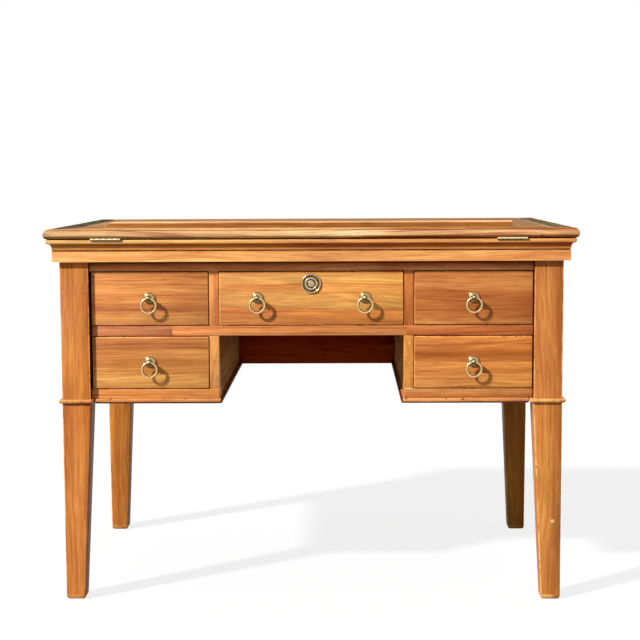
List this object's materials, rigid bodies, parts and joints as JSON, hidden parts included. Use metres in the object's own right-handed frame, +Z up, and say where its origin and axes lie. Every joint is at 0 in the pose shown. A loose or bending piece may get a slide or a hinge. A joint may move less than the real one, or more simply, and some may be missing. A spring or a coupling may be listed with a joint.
{
  "type": "drafting desk",
  "caption": "Wooden drafting desk on square tapered legs: moulded top with a book ledge, hinged at its front edge on a ratchet easel, drawers with brass ring pulls around a kneehole.",
  "frame": {"origin": "on the floor, at the middle of the footprint of the top", "axes": "+X to the right along the front, +Y from the front to the back, +Z up"},
  "size_m": [1.1, 0.7, 0.798],
  "materials": {
    "leg_wood": "satin varnish",
    "carcass_wood": "satin varnish",
    "top_wood": "satin varnish",
    "front_wood": "satin varnish",
    "drawer_wood": "bare",
    "brass": "aged"
  },
  "bodies": {
    "carcass": {"leg_front_left": "leg_wood", "leg_front_right": "leg_wood", "leg_back_left": "leg_wood", "leg_back_right": "leg_wood", "side_panel_left": "carcass_wood", "side_panel_right": "carcass_wood", "back_panel": "carcass_wood", "bed_board": "carcass_wood", "drawer_rail": "carcass_wood", "bottom_rail_left": "carcass_wood", "bottom_rail_right": "carcass_wood", "divider_left": "carcass_wood", "divider_right": "carcass_wood", "dust_board_centre": "carcass_wood", "dust_board_left": "carcass_wood", "dust_board_right": "carcass_wood", "pedestal_bottom_left": "carcass_wood", "pedestal_bottom_right": "carcass_wood", "cornice_front": "top_wood", "cornice_back": "top_wood", "cornice_left": "top_wood", "cornice_right": "top_wood", "rack_left": "carcass_wood", "rack_right": "carcass_wood", "hinge_lower_leaf_left": "brass", "hinge_lower_leaf_right": "brass"},
    "top": {"top_rim_front": "top_wood", "top_rim_back": "top_wood", "top_rim_left": "top_wood", "top_rim_right": "top_wood", "drawing_panel": "top_wood", "book_ledge": "top_wood", "easel_cleat": "carcass_wood", "hinge_upper_leaf_left": "brass", "hinge_upper_leaf_right": "brass"},
    "easel": {"easel_frame": "carcass_wood"},
    "centre_drawer": {"drawer_front_centre": "front_wood", "drawer_box_centre": "drawer_wood", "pull_rosette_centre_left": "brass", "pull_rosette_centre_right": "brass", "lock_escutcheon": "brass"},
    "upper_left_drawer": {"drawer_front_upper_left": "front_wood", "drawer_box_upper_left": "drawer_wood", "pull_rosette_upper_left": "brass"},
    "upper_right_drawer": {"drawer_front_upper_right": "front_wood", "drawer_box_upper_right": "drawer_wood", "pull_rosette_upper_right": "brass"},
    "lower_left_drawer": {"drawer_front_lower_left": "front_wood", "drawer_box_lower_left": "drawer_wood", "pull_rosette_lower_left": "brass"},
    "lower_right_drawer": {"drawer_front_lower_right": "front_wood", "drawer_box_lower_right": "drawer_wood", "pull_rosette_lower_right": "brass"},
    "ring_centre_left": {"pull_ring_centre_left": "brass"},
    "ring_centre_right": {"pull_ring_centre_right": "brass"},
    "ring_upper_left": {"pull_ring_upper_left": "brass"},
    "ring_upper_right": {"pull_ring_upper_right": "brass"},
    "ring_lower_left": {"pull_ring_lower_left": "brass"},
    "ring_lower_right": {"pull_ring_lower_right": "brass"},
    "key_plug": {"lock_plug": "brass"}
  },
  "joints": [
    {"name": "top_tilt", "type": "hinge", "parent": "carcass", "child": "top", "pos_m": [0, -0.3462, 0.7642], "axis": [1, 0, 0], "range_deg": [0, 45]},
    {"name": "easel_swing", "type": "hinge", "parent": "top", "child": "easel", "pos_m": [0, -0.0835, 0.7365], "axis": [1, 0, 0], "range_deg": [-90, 0]},
    {"name": "centre_drawer_slide", "type": "slide", "parent": "carcass", "child": "centre_drawer", "axis": [0, -1, 0], "range_m": [0, 0.38]},
    {"name": "upper_left_drawer_slide", "type": "slide", "parent": "carcass", "child": "upper_left_drawer", "axis": [0, -1, 0], "range_m": [0, 0.38]},
    {"name": "upper_right_drawer_slide", "type": "slide", "parent": "carcass", "child": "upper_right_drawer", "axis": [0, -1, 0], "range_m": [0, 0.38]},
    {"name": "lower_left_drawer_slide", "type": "slide", "parent": "carcass", "child": "lower_left_drawer", "axis": [0, -1, 0], "range_m": [0, 0.38]},
    {"name": "lower_right_drawer_slide", "type": "slide", "parent": "carcass", "child": "lower_right_drawer", "axis": [0, -1, 0], "range_m": [0, 0.38]},
    {"name": "ring_centre_left_swing", "type": "hinge", "parent": "centre_drawer", "child": "ring_centre_left", "pos_m": [-0.112, -0.3283, 0.64095], "axis": [-1, 0, 0], "range_deg": [-25, 110]},
    {"name": "ring_centre_right_swing", "type": "hinge", "parent": "centre_drawer", "child": "ring_centre_right", "pos_m": [0.112, -0.3283, 0.64095], "axis": [-1, 0, 0], "range_deg": [-25, 110]},
    {"name": "ring_upper_left_swing", "type": "hinge", "parent": "upper_left_drawer", "child": "ring_upper_left", "pos_m": [-0.3375, -0.3283, 0.64095], "axis": [-1, 0, 0], "range_deg": [-25, 110]},
    {"name": "ring_upper_right_swing", "type": "hinge", "parent": "upper_right_drawer", "child": "ring_upper_right", "pos_m": [0.3375, -0.3283, 0.64095], "axis": [-1, 0, 0], "range_deg": [-25, 110]},
    {"name": "ring_lower_left_swing", "type": "hinge", "parent": "lower_left_drawer", "child": "ring_lower_left", "pos_m": [-0.3375, -0.3283, 0.5067], "axis": [-1, 0, 0], "range_deg": [-25, 110]},
    {"name": "ring_lower_right_swing", "type": "hinge", "parent": "lower_right_drawer", "child": "ring_lower_right", "pos_m": [0.3375, -0.3283, 0.5067], "axis": [-1, 0, 0], "range_deg": [-25, 110]},
    {"name": "key_turn", "type": "hinge", "parent": "centre_drawer", "child": "key_plug", "pos_m": [0, -0.312, 0.67], "axis": [0, -1, 0], "range_deg": [0, 90]}
  ],
  "couplings": [
    {"joint": "easel_swing", "follows": "top_tilt", "ratio": -2}
  ]
}
